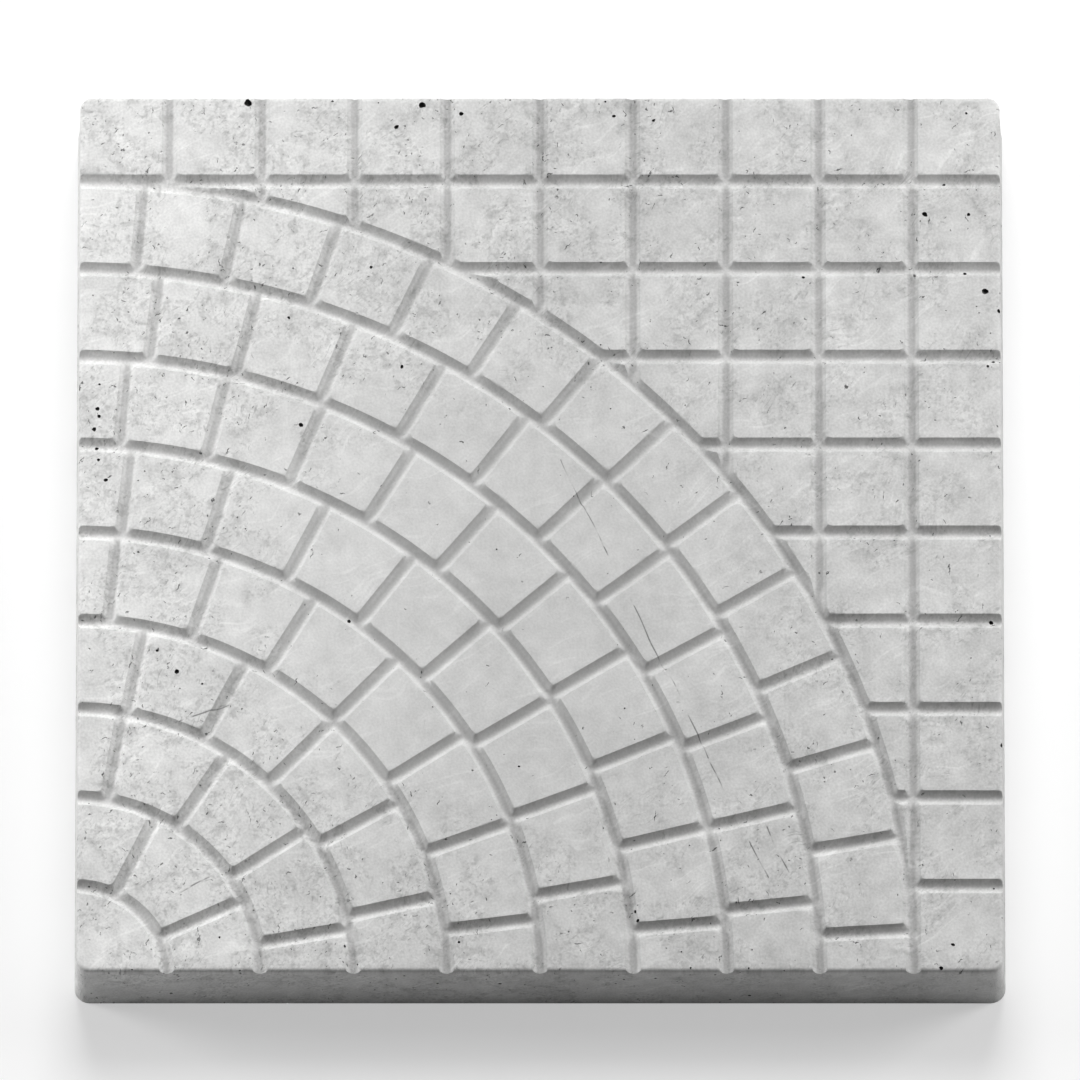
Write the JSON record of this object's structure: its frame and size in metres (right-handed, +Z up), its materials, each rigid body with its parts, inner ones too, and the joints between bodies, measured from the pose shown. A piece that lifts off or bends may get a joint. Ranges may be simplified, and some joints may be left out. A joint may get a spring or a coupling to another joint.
{
  "type": "concrete paving slab",
  "caption": "Square concrete paving slab whose face is moulded as setts, in quarter-circle courses round a corner with a square grid beyond them.",
  "frame": {"origin": "middle of the flat bed, the underside that the slab lies on", "axes": "+Z up through the patterned face, +X and +Y along the sides, with the quarter circles centred on the corner at -X, -Y"},
  "size_m": [0.4, 0.4, 0.04],
  "materials": {
    "concrete": "matte, fair-faced cast concrete, light grey"
  },
  "bodies": {
    "root": {"slab": "concrete"}
  },
  "joints": []
}
